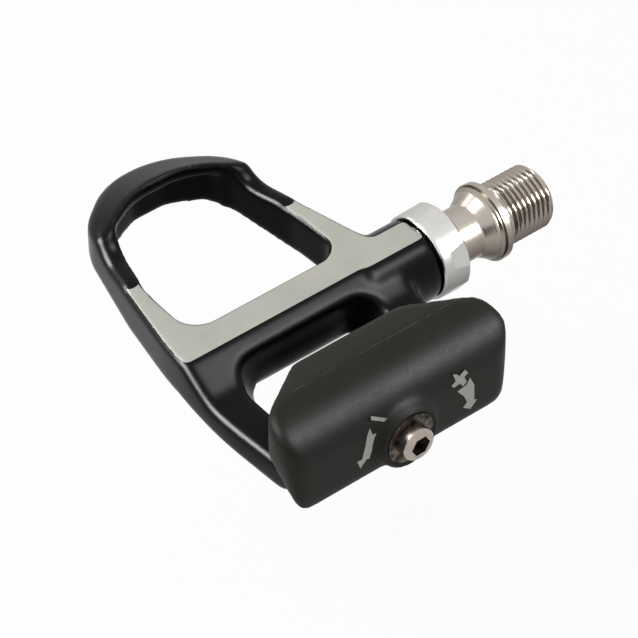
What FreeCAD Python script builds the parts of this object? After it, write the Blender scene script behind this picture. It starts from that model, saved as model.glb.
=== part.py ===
import FreeCAD, Part
import math
import os
import re
import Sketcher

Vector = FreeCAD.Vector
doc = FreeCAD.newDocument("road_pedal")
sheet = doc.addObject("Spreadsheet::Sheet", "dims")

# Driving dimensions in millimetres and degrees.
# The axle runs along X with the crank seat at the origin, the toe points along +Y and the cleat
# platform faces +Z. Pieces of the pedal itself are drawn from the pedal's middle plane.
DIMENSIONS = {
    "stance": 54.8,
    "trim": 1.0,
    # Axle
    "thread_radius": 7.1,
    "thread_length": 13.0,
    "thread_chamfer": 1.2,
    "key_width": 8.0,
    "key_depth": 7.0,
    "flange_radius": 8.7,
    "flange_width": 1.8,
    "flange_groove": 0.5,
    "flange_chamfer": 0.4,
    "dome_width": 3.4,
    "dome_round": 1.6,
    "axle_end_gap": 0.6,
    "neck_radius": 5.8,
    "shaft_radius": 4.6,
    # Axle tube and its bearings
    "tube_radius": 9.0,
    "tube_reach": 35.4,
    "bar_radius": 6.65,
    "tube_step": 17.0,
    "stub_round": 2.5,
    "bore_radius": 5.3,
    "bore_end": 21.5,
    "tube_end_wall": 1.3,
    "nut_thread_radius": 7.8,
    "nut_thread_length": 5.5,
    "race_outer": 7.5,
    "race_inner": 5.0,
    "race_width": 4.0,
    "race_wall": 0.45,
    "ball_count": 9,
    "running_gap": 0.05,
    "cage_wall": 0.6,
    "cage_gap": 0.1,
    "relief_radius": 6.3,
    "relief_width": 1.8,
    "circlip_width": 0.8,
    "circlip_radius": 5.7,
    "circlip_depth": 0.35,
    "needle_cup_radius": 5.0,
    "needle_cup_wall": 0.35,
    "needle_radius": 0.6,
    "needle_length": 7.6,
    "needle_cup_length": 9.4,
    "needle_count": 10,
    "journal_run": 1.0,
    "ball_cage_width": 2.8,
    # Lock nut and seal
    "collar_radius": 9.25,
    "collar_width": 2.5,
    "nut_radius": 9.85,
    "nut_flats": 18.9,
    "nut_width": 4.2,
    "nut_chamfer": 0.5,
    "nut_turn": 6.0,
    "nut_bore": 6.4,
    "seal_radius": 7.1,
    "seal_width": 1.8,
    # Cast body, side view
    "platform_height": 8.45,
    "platform_back": 2.6,
    "ramp_foot_in": 19.4,
    "face_stock": 0.7,
    "face_front": 22.5,
    "ramp_top_in": 14.6,
    "ramp_round": 7.0,
    "lip_height": 13.9,
    "lip_under": 10.8,
    "lip_cone_radius": 18.0,
    "lip_cone_in": 27.4,
    "lip_cone_drop": 0.43,
    "kink_back": 11.3,
    "kink_height": 3.3,
    "kink_round": 10.0,
    "keel_depth": 1.4,
    "keel_back": 1.0,
    "keel_front": 21.0,
    "toe_rise_in": 19.4,
    "toe_rise": 0.5,
    "toe_under": 4.4,
    "keel_round": 10.0,
    # Cast body, plan
    "toe_reach": 50.4,
    "toe_flat": 6.6,
    "toe_flat_round": 18.0,
    "toe_half": 18.4,
    "toe_bow": 9.7,
    "toe_round": 13.0,
    "hip_half": 28.3,
    "hip_back": 6.0,
    "hip_round": 80.0,
    "tail_half": 24.2,
    "opening_back": 4.4,
    "opening_half": 19.3,
    "opening_round": 5.5,
    "opening_bend_half": 18.6,
    "opening_bend": 20.0,
    "opening_front_half": 14.6,
    "opening_front_in": 14.8,
    "lip_edge_half": 6.0,
    "lip_edge_in": 10.4,
    "lip_edge_round": 14.0,
    "nose_half": 15.0,
    "nose_back_in": 19.4,
    "nose_shoulder_half": 12.8,
    "nose_shoulder_in": 11.0,
    "nose_tip_half": 4.0,
    "nose_tip_in": 7.4,
    "nose_round": 6.0,
    "window_front": 6.3,
    "window_top_half": 21.3,
    "window_round": 7.5,
    "window_half": 15.7,
    "window_knee": 2.5,
    # Hinge
    "hinge_back": 29.5,
    "hinge_drop": 3.4,
    "arm_end_radius": 3.6,
    "pin_radius": 2.0,
    "pin_blind": 20.5,
    "pin_recess": 0.5,
    "web_back": 19.5,
    "web_thick": 3.0,
    "web_top": 3.4,
    # Jaw
    "jaw_half": 28.2,
    "jaw_back": 38.4,
    "jaw_front": 20.0,
    "jaw_front_half": 13.2,
    "jaw_sweep_back": 30.4,
    "jaw_sweep_round": 5.0,
    "jaw_nose_top": 13.7,
    "jaw_nose_under": 10.9,
    "jaw_throat": 23.4,
    "jaw_crest_back": 28.0,
    "jaw_crest": 15.3,
    "jaw_crown": 13.4,
    "jaw_roll": 9.0,
    "jaw_crest_round": 7.5,
    "jaw_bottom": 6.0,
    "jaw_skirt": 5.0,
    "jaw_bottom_half": 26.0,
    "jaw_bottom_round": 4.0,
    "jaw_lip_round": 0.7,
    "jaw_front_round": 2.5,
    "jaw_hem": 4.5,
    "jaw_corner_round": 4.0,
    "jaw_top_round": 3.6,
    "jaw_wall": 1.7,
    "jaw_end_wall": 3.2,
    "jaw_ceiling": 8.6,
    "jaw_vault": 12.0,
    "ear_inner": 12.0,
    "ear_outer": 15.1,
    "ear_radius": 3.6,
    # Tension adjuster
    "bolt_rise": 0.45,
    "boss_radius": 7.1,
    "boss_reach": 40.8,
    "boss_rim": 0.5,
    "boss_flare": 0.5,
    "recess_radius": 6.0,
    "seat_back": 39.6,
    "washer_radius": 5.7,
    "washer_width": 0.8,
    "bolt_head_radius": 3.7,
    "bolt_head_width": 3.0,
    "bolt_head_round": 1.0,
    "bolt_radius": 2.5,
    "bolt_end": 32.0,
    "bolt_gap": 0.2,
    "socket_width": 4.0,
    "socket_depth": 2.2,
    "plate_back": 34.9,
    "plate_width": 1.6,
    "plate_half": 11.5,
    "plate_low": 0.3,
    "plate_top": 3.4,
    "plate_hub": 3.3,
    "plate_round": 0.5,
    # Springs
    "wire_radius": 0.85,
    "coil_radius": 3.3,
    "coil_start": 4.3,
    "coil_turns": 3,
    "coil_pitch": 2.0,
    "leg_gap": 0.1,
    "leg_bend": 1.3,
    "leg_top": 2.6,
    # Rounded edges
    "edge_round": 1.5,
}
for row, (alias, number) in enumerate(DIMENSIONS.items(), 1):
    sheet.set(f"A{row}", str(number))
    sheet.setAlias(f"A{row}", alias)
doc.recompute()
# A round that all but fills the height it is in
NEARLY = 0.95
# How far a face may lean and still count as upright, and from where it counts as sloped or facing across
UPRIGHT = 0.05
SLOPED = 0.3
ACROSS = 0.7
ALIASES = re.compile(r"\b(" + "|".join(DIMENSIONS) + r")\b")


def full(expression):
    """The expression with every size named as a cell of the sheet."""
    return ALIASES.sub(r"dims.\1", expression)


def size(expression):
    """The value of an expression in the sheet's sizes."""
    return float(sheet.evalExpression(full(expression)))


def bind(item, name, expression):
    item.setExpression(name, full(expression))


def new_body(label, along_x="0"):
    body = doc.addObject("PartDesign::Body", label)
    body.Label = label
    bind(body, "Placement.Base.x", along_x)
    return body


def new_sketch(body, plane, name, lift="0", shift="0", rise="0"):
    """A sketch on one of the body's own planes, lifted along its normal and moved along its two axes."""
    sketch = body.newObject("Sketcher::SketchObject", body.Label + "_" + name)
    support = [item for item in body.Origin.OriginFeatures if item.Role == plane][0]
    sketch.AttachmentSupport = [(support, "")]
    sketch.MapMode = "FlatFace"
    bind(sketch, "AttachmentOffset.Base.x", shift)
    bind(sketch, "AttachmentOffset.Base.y", rise)
    bind(sketch, "AttachmentOffset.Base.z", lift)
    return sketch


def pin_point(sketch, item, spot, across, along):
    """Ties a point of the sketch to its two coordinates."""
    for kind, expression in (("DistanceX", across), ("DistanceY", along)):
        index = sketch.addConstraint(Sketcher.Constraint(kind, -1, 1, item, spot, size(expression)))
        bind(sketch, f"Constraints[{index}]", expression)


def outline(sketch, corners):
    """A closed outline through corners (across, along, radius), with a tangent arc at each rounded one."""
    spots = [Vector(size(across), size(along), 0) for across, along, _ in corners]
    radii = [size(radius) for *_, radius in corners]
    entries = []
    exits = []
    for spot, last, following, radius in zip(spots, spots[-1:] + spots[:-1], spots[1:] + spots[:1], radii):
        back = (last - spot).normalize()
        ahead = (following - spot).normalize()
        reach = radius / math.tan(back.getAngle(ahead) / 2)
        entries.append(spot + back * reach)
        exits.append(spot + ahead * reach)
    sides = []
    for leave, arrive in zip(exits, entries[1:] + entries[:1]):
        sides.append(sketch.addGeometry(Part.LineSegment(leave, arrive)))
    for index, (across, along, radius) in enumerate(corners):
        before = sides[index - 1]
        after = sides[index]
        if radii[index] == 0:
            sketch.addConstraint(Sketcher.Constraint("Coincident", before, 2, after, 1))
            pin_point(sketch, after, 1, across, along)
            continue
        entry = entries[index]
        leave = exits[index]
        chord = (entry + leave) * 0.5
        inward = (chord - spots[index]).normalize()
        centre = chord + inward * math.sqrt(radii[index] ** 2 - (entry - chord).Length ** 2)
        turn = (spots[index] - entry).cross(leave - spots[index]).z
        first, second = (entry, leave) if turn > 0 else (leave, entry)
        angles = [math.atan2((end - centre).y, (end - centre).x) for end in (first, second)]
        circle = Part.Circle(centre, Vector(0, 0, 1), radii[index])
        arc = sketch.addGeometry(Part.ArcOfCircle(circle, angles[0], angles[1]))
        ends = (1, 2) if turn > 0 else (2, 1)
        sketch.addConstraint(Sketcher.Constraint("Tangent", before, 2, arc, ends[0]))
        sketch.addConstraint(Sketcher.Constraint("Tangent", arc, ends[1], after, 1))
        rule = sketch.addConstraint(Sketcher.Constraint("Radius", arc, radii[index]))
        bind(sketch, f"Constraints[{rule}]", radius)
        corner = sketch.addGeometry(Part.Point(spots[index]), True)
        sketch.addConstraint(Sketcher.Constraint("PointOnObject", corner, 1, before))
        sketch.addConstraint(Sketcher.Constraint("PointOnObject", corner, 1, after))
        pin_point(sketch, corner, 1, across, along)


def mirrored(corners):
    """The corners of a symmetric outline: those given on the right, then their mirror images."""
    return corners + [(f"-({across})", along, radius) for across, along, radius in reversed(corners)]


def box_corners(left, right, low, high):
    return [(left, low, "0"), (right, low, "0"), (right, high, "0"), (left, high, "0")]


def disc(sketch, across, along, radius):
    circle = Part.Circle(Vector(size(across), size(along), 0), Vector(0, 0, 1), size(radius))
    item = sketch.addGeometry(circle)
    pin_point(sketch, item, 3, across, along)
    rule = sketch.addConstraint(Sketcher.Constraint("Radius", item, size(radius)))
    bind(sketch, f"Constraints[{rule}]", radius)


def hexagon_corners(across, along, flats, turn):
    """Corners of a hexagon about a point, with its first corner at the given angle."""
    return [
        (f"({across}) + ({flats}) / sqrt(3) * cos({60 * step} deg + {turn} * 1 deg)",
         f"({along}) + ({flats}) / sqrt(3) * sin({60 * step} deg + {turn} * 1 deg)", "0")
        for step in range(6)
    ]


def feature(body, kind, sketch, name):
    item = body.newObject("PartDesign::" + kind, body.Label + "_" + name)
    item.Profile = sketch
    return item


def settle(item, volume_before, adds):
    """Rebuilds the piece and makes sure that the feature added or removed material."""
    doc.recompute()
    change = item.Shape.Volume - volume_before
    if (change <= 0) if adds else (change >= 0):
        raise RuntimeError(f"{item.Label} changed nothing")
    return item


def volume_of(body):
    doc.recompute()
    return body.Shape.Volume if body.Tip and not body.Shape.isNull() else 0.0


def pad(body, sketch, length, name, symmetric=False, reverse=False):
    before = volume_of(body)
    item = feature(body, "Pad", sketch, name)
    item.SideType = "Symmetric" if symmetric else "One side"
    item.Reversed = reverse
    bind(item, "Length", length)
    return settle(item, before, True)


def pocket(body, sketch, length, name, symmetric=False, reverse=False):
    before = volume_of(body)
    item = feature(body, "Pocket", sketch, name)
    item.SideType = "Symmetric" if symmetric else "One side"
    item.Reversed = reverse
    bind(item, "Length", length)
    return settle(item, before, False)


def revolve(body, sketch, name, axis="H_Axis"):
    before = volume_of(body)
    item = feature(body, "Revolution", sketch, name)
    item.ReferenceAxis = (sketch, [axis])
    item.Angle = 360
    return settle(item, before, True)


def groove(body, sketch, name, axis="H_Axis", half=False):
    """Turns a section out of the body, all round or over the half circle about the sketch."""
    before = volume_of(body)
    item = feature(body, "Groove", sketch, name)
    item.ReferenceAxis = (sketch, [axis])
    item.Midplane = half
    item.Angle = 180 if half else 360
    return settle(item, before, False)


def rounded(body, name, radius, wanted):
    """Rounds the edges of the last feature whose middle and face normals are wanted."""
    doc.recompute()
    base = body.Tip
    picked = []
    for number, edge in enumerate(base.Shape.Edges, 1):
        middle = edge.valueAt((edge.FirstParameter + edge.LastParameter) / 2)
        faces = base.Shape.ancestorsOfType(edge, Part.Face)
        normals = [face.normalAt(*face.Surface.parameter(middle)) for face in faces]
        if wanted(middle, normals):
            picked.append(f"Edge{number}")
    item = body.newObject("PartDesign::Fillet", body.Label + "_" + name)
    item.Base = (base, picked)
    bind(item, "Radius", radius)
    doc.recompute()


def on_rim(middle, normals):
    """Outer top edges of the casting; their rounding runs on round the tail along the underside."""
    outward = Vector(middle.x, max(0, middle.y - size("opening_bend")), 0)
    walls = [normal for normal in normals if abs(normal.z) < UPRIGHT]
    capped = any(normal.z > SLOPED for normal in normals)
    return capped and any(wall.dot(outward) > SLOPED * outward.Length for wall in walls)


def on_stub(middle, normals):
    """Edges where the tube leaves the side of the arm."""
    on_tube = abs(math.hypot(middle.y, middle.z) - size("tube_radius")) < UPRIGHT
    beside_arm = size("tube_step") < middle.x < size("tube_reach") - size("trim")
    return on_tube and beside_arm and any(normal.x > ACROSS for normal in normals)


def turned(label, corners, along_x):
    """A body of revolution about the axle from its half section."""
    body = new_body(label, along_x)
    sketch = new_sketch(body, "XY_Plane", "section")
    outline(sketch, corners)
    revolve(body, sketch, "turning")
    return body


def ring(label, left, right, inner, outer):
    """A plain ring about the axle, between two places along the pedal."""
    return turned(label, box_corners(left, right, inner, outer), "-stance")


# Places along the axle that several pieces share
NUT_SEAT = "(tube_reach - nut_thread_length)"
RACE_LEFT = "(tube_reach - nut_thread_length - race_width)"
NEEDLE_JOURNAL = "(needle_cup_radius - needle_cup_wall - 2 * needle_radius - 2 * running_gap)"
NEEDLE_PITCH = "(needle_cup_radius - needle_cup_wall - needle_radius - running_gap)"
BALL_PITCH = "((race_inner + race_outer) / 2)"
NUT_END = "(tube_reach + collar_width + nut_width)"
BALL_RADIUS = "((race_outer - race_inner) / 2 - race_wall - running_gap)"
WEB_BOTTOM = "(wire_radius + leg_gap - hinge_drop - coil_radius)"


def make_axle():
    """Steel axle, turned in one piece, with a hexagon socket in its threaded end."""
    flange_back = "-(flange_width + flange_groove)"
    dome_back = "-(flange_width + flange_groove + dome_width)"
    groove_radius = "(flange_radius - flange_groove)"
    clip_left = f"({RACE_LEFT} - circlip_width - stance)"
    needle_right = "(needle_cup_length - bore_end + journal_run - stance)"
    corners = [
        ("thread_length", "0", "0"),
        ("thread_length", "thread_radius - thread_chamfer", "0"),
        ("thread_length - thread_chamfer", "thread_radius", "0"),
        ("0", "thread_radius", "0"),
        ("0", "flange_radius - flange_chamfer", "0"),
        ("-flange_chamfer", "flange_radius", "0"),
        ("-flange_width", "flange_radius", "0"),
        ("-flange_width", groove_radius, "0"),
        (flange_back, groove_radius, "0"),
        (flange_back, "flange_radius - flange_chamfer", "0"),
        (f"{flange_back} - dome_width / 3", "flange_radius - flange_chamfer", "dome_round"),
        (dome_back, "neck_radius", "dome_width / 3"),
        (f"{NUT_SEAT} - stance", "neck_radius", "0"),
        (f"{NUT_SEAT} - stance", "race_inner", "0"),
        (f"{RACE_LEFT} - stance", "race_inner", "0"),
        (f"{RACE_LEFT} - stance", "shaft_radius - circlip_depth", "0"),
        (clip_left, "shaft_radius - circlip_depth", "0"),
        (clip_left, "shaft_radius", "0"),
        (needle_right, "shaft_radius", "0"),
        (needle_right, NEEDLE_JOURNAL, "0"),
        ("axle_end_gap - bore_end - stance", NEEDLE_JOURNAL, "0"),
        ("axle_end_gap - bore_end - stance", "0", "0"),
    ]
    body = turned("axle", corners, "0")
    socket = new_sketch(body, "YZ_Plane", "socket", "thread_length")
    outline(socket, hexagon_corners("0", "0", "key_width", "0"))
    pocket(body, socket, "key_depth", "key_socket")


def make_bearings():
    """Ball bearing at the crank side and needle bearing at the blind end of the tube."""
    ring("bearing_inner_race", RACE_LEFT, NUT_SEAT, "race_inner", "race_inner + race_wall")
    ring("bearing_outer_race", RACE_LEFT, NUT_SEAT, "race_outer - race_wall", "race_outer")
    middle = f"({RACE_LEFT} + race_width / 2)"
    make_cage("ball_cage", middle, BALL_PITCH, "ball_cage_width", BALL_RADIUS, BALL_RADIUS, "ball_count")
    for number in range(1, int(size("ball_count")) + 1):
        ball = doc.addObject("Part::Sphere", f"ball_{number}")
        bind(ball, "Radius", BALL_RADIUS)
        place_round(ball, number, "ball_count", BALL_PITCH, middle)
    cup_right = "(needle_cup_length - bore_end)"
    ring("needle_cup", "-bore_end", cup_right, "needle_cup_radius - needle_cup_wall", "needle_cup_radius")
    middle = "(needle_cup_length / 2 - bore_end)"
    make_cage("needle_cage", middle, NEEDLE_PITCH, "needle_length + 2 * needle_radius",
              "needle_length / 2", "needle_radius", "needle_count")
    for number in range(1, int(size("needle_count")) + 1):
        needle = doc.addObject("Part::Cylinder", f"needle_{number}")
        needle.Placement.Rotation = FreeCAD.Rotation(Vector(0, 1, 0), 90)
        bind(needle, "Radius", "needle_radius")
        bind(needle, "Height", "needle_length")
        place_round(needle, number, "needle_count", NEEDLE_PITCH, f"{middle} - needle_length / 2")


def place_round(item, number, count, pitch, along):
    """Puts a rolling element at its place on the pitch circle."""
    bind(item, "Placement.Base.x", f"{along} - stance")
    bind(item, "Placement.Base.y", f"{pitch} * sin(360 deg * {number} / {count})")
    bind(item, "Placement.Base.z", f"{pitch} * cos(360 deg * {number} / {count})")


def make_cage(label, middle, pitch, width, slot_half, element_radius, count):
    """A thin ring with a slot for each rolling element."""
    body = ring(label, f"{middle} - ({width}) / 2", f"{middle} + ({width}) / 2",
                f"{pitch} - cage_wall / 2", f"{pitch} + cage_wall / 2")
    sketch = new_sketch(body, "XY_Plane", "slot")
    slot_wide = f"({element_radius} + cage_gap)"
    slot_long = f"({slot_half} + cage_gap)"
    slot = box_corners(f"{middle} - {slot_long}", f"{middle} + {slot_long}", f"-{slot_wide}", slot_wide)
    outline(sketch, slot)
    cut = pocket(body, sketch, f"{pitch} * 2", "slot_cut", reverse=True)
    pattern = body.newObject("PartDesign::PolarPattern", label + "_slots")
    pattern.Originals = [cut]
    pattern.Axis = (sketch, ["H_Axis"])
    pattern.Angle = 360
    bind(pattern, "Occurrences", count)
    body.Tip = pattern
    doc.recompute()


def make_circlip():
    """Spring ring in the axle's groove, which holds the inner race."""
    left = f"{RACE_LEFT} - circlip_width"
    ring("axle_circlip", left, RACE_LEFT, "shaft_radius - circlip_depth", "circlip_radius")


def make_nut():
    """Lock nut: threaded spigot in the tube and a flaring collar with six flats milled on its outer end."""
    spigot = "nut_thread_radius - running_gap"
    body = turned("lock_nut", [
        (NUT_SEAT, "nut_bore", "0"),
        (NUT_SEAT, spigot, "0"),
        ("tube_reach", spigot, "0"),
        ("tube_reach", "collar_radius", "0"),
        ("tube_reach + nut_chamfer", "collar_radius + nut_chamfer / 2", "0"),
        (f"{NUT_END} - nut_chamfer", "nut_radius", "0"),
        (NUT_END, "nut_radius - nut_chamfer", "0"),
        (NUT_END, "nut_bore", "0"),
    ], "-stance")
    flats = new_sketch(body, "YZ_Plane", "flats", NUT_END)
    disc(flats, "0", "0", "2 * nut_radius")
    outline(flats, hexagon_corners("0", "0", "nut_flats", "nut_turn"))
    pocket(body, flats, "nut_width", "flats_cut")
    seat = new_sketch(body, "YZ_Plane", "seal_seat", NUT_END)
    disc(seat, "0", "0", "seal_radius")
    pocket(body, seat, "seal_width", "seal_seat_cut")
    ring("axle_seal", f"{NUT_END} - seal_width", NUT_END, "neck_radius + running_gap", "seal_radius")


def window_sketch(body, name, half, lift):
    """Plan of the rear window at one height, with its two front corners rounded."""
    sketch = new_sketch(body, "XY_Plane", name, lift)
    outline(sketch, mirrored([
        (half, "-2 * hinge_back", "0"),
        (half, "-window_front", "window_round"),
    ]))
    return sketch


def make_pedal_body():
    """The casting: side view padded across, trimmed to its plan, opened, bored and rounded."""
    body = new_body("pedal_body", "-stance")
    tail = "(hinge_back + arm_end_radius)"
    face_run = "(face_stock * (kink_back - platform_back) / (platform_height - kink_height))"
    side = new_sketch(body, "YZ_Plane", "side")
    outline(side, [
        (f"-{tail}", "arm_end_radius - hinge_drop", f"{NEARLY} * arm_end_radius"),
        (f"-{tail}", "-hinge_drop - arm_end_radius", f"{NEARLY} * arm_end_radius"),
        ("-keel_back", "-keel_depth", "keel_round"),
        ("keel_front", "-keel_depth", "keel_round"),
        ("toe_reach - toe_rise_in", "toe_rise", "keel_round"),
        ("toe_reach + trim", "toe_under", "0"),
        ("toe_reach + trim", "lip_height", "0"),
        ("toe_reach - ramp_top_in", "lip_height", "ramp_round / 2"),
        ("toe_reach - ramp_foot_in", "platform_height + face_stock", "ramp_round"),
        (f"{face_run} - platform_back", "platform_height + face_stock", "0"),
        ("-kink_back", "kink_height", "kink_round"),
    ])
    pad(body, side, "2 * hip_half + 4 * trim", "casting", symmetric=True)
    plan = new_sketch(body, "XY_Plane", "plan")
    around = "2 * toe_reach"
    outline(plan, box_corners(f"-{around}", around, f"-{around}", around))
    outline(plan, mirrored([
        ("tail_half", f"-{tail} - trim", "0"),
        ("hip_half", "-hip_back", "hip_round"),
        ("toe_half", "toe_reach - toe_bow", "toe_round"),
        ("toe_flat", "toe_reach", "toe_flat_round"),
    ]))
    pocket(body, plan, around, "plan_trim", symmetric=True)
    cone = new_sketch(body, "YZ_Plane", "lip_cone", shift="toe_reach - lip_cone_in")
    outline(cone, [
        ("lip_cone_radius", "lip_height", "0"),
        ("toe_reach", "lip_height - lip_cone_drop * (toe_reach - lip_cone_radius)", "0"),
        ("toe_reach", "2 * lip_height", "0"),
        ("lip_cone_radius", "2 * lip_height", "0"),
    ])
    groove(body, cone, "lip_slope", axis="V_Axis", half=True)
    opening = new_sketch(body, "XY_Plane", "opening")
    outline(opening, mirrored([
        ("opening_half", "opening_back", "opening_round"),
        ("opening_bend_half", "opening_bend", "ramp_round"),
        ("opening_front_half", "toe_reach - opening_front_in", "ramp_round / 2"),
        ("lip_edge_half", "toe_reach - lip_edge_in", "lip_edge_round"),
    ]))
    pocket(body, opening, around, "opening_cut", symmetric=True)
    nose = new_sketch(body, "XY_Plane", "nose", "lip_under")
    outline(nose, mirrored([
        ("nose_half", "toe_reach - nose_back_in", "0"),
        ("nose_shoulder_half", "toe_reach - nose_shoulder_in", "nose_round"),
        ("nose_tip_half", "toe_reach - nose_tip_in", "nose_round"),
    ]))
    pocket(body, nose, "2 * lip_under", "nose_cut")
    window = [
        window_sketch(body, "window_top", "window_top_half", "platform_height"),
        window_sketch(body, "window_knee", "window_half", "-window_knee"),
    ]
    taper = feature(body, "SubtractiveLoft", window[0], "window_taper")
    taper.Sections = window[1:]
    taper.Ruled = True
    doc.recompute()
    drop = window_sketch(body, "window_drop", "window_half", "-window_knee")
    pocket(body, drop, around, "window_cut")
    rounded(body, "rim_round", "edge_round", on_rim)
    web = new_sketch(body, "YZ_Plane", "web")
    outline(web, box_corners("-web_back", "web_thick - web_back", WEB_BOTTOM, "-web_top"))
    pad(body, web, "2 * window_half + 2 * trim", "web_pad", symmetric=True)
    tube = new_sketch(body, "XY_Plane", "tube")
    outline(tube, [
        ("-bore_end - tube_end_wall", "0", "0"),
        ("tube_reach", "0", "0"),
        ("tube_reach", "tube_radius", "0"),
        ("tube_step + tube_radius - bar_radius", "tube_radius", "0"),
        ("tube_step", "bar_radius", "0"),
        ("-bore_end - tube_end_wall", "bar_radius", "tube_end_wall"),
    ])
    revolve(body, tube, "tube_turn")
    rounded(body, "stub_blend", "stub_round", on_stub)
    face = new_sketch(body, "XY_Plane", "facing", "platform_height")
    outline(face, box_corners("-hip_half - trim", "tube_reach + trim", "-tube_radius", "face_front"))
    pocket(body, face, "tube_radius", "facing_cut", reverse=True)
    bore = new_sketch(body, "XY_Plane", "bore")
    needle_step = "needle_cup_length - bore_end"
    outline(bore, [
        ("-bore_end", "0", "0"),
        ("tube_reach + trim", "0", "0"),
        ("tube_reach + trim", "nut_thread_radius", "0"),
        (NUT_SEAT, "nut_thread_radius", "0"),
        (NUT_SEAT, "race_outer", "0"),
        (RACE_LEFT, "race_outer", "0"),
        (RACE_LEFT, "relief_radius", "0"),
        (f"{RACE_LEFT} - relief_width", "relief_radius", "0"),
        (f"{RACE_LEFT} - relief_width", "bore_radius", "0"),
        (needle_step, "bore_radius", "0"),
        (needle_step, "needle_cup_radius", "0"),
        ("-bore_end", "needle_cup_radius", "0"),
    ])
    groove(body, bore, "bore_turn")
    hinge = new_sketch(body, "YZ_Plane", "hinge", "-pin_blind")
    disc(hinge, "-hinge_back", "-hinge_drop", "pin_radius")
    pocket(body, hinge, "2 * hip_half", "hinge_hole", reverse=True)


def make_pin():
    """Hinge pin, pressed into both arms and blind on the outer side."""
    body = new_body("hinge_pin", "-stance")
    sketch = new_sketch(body, "YZ_Plane", "section", "-pin_blind")
    disc(sketch, "-hinge_back", "-hinge_drop", "pin_radius")
    pad(body, sketch, "pin_blind + tail_half - pin_recess", "pin_pad")


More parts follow.
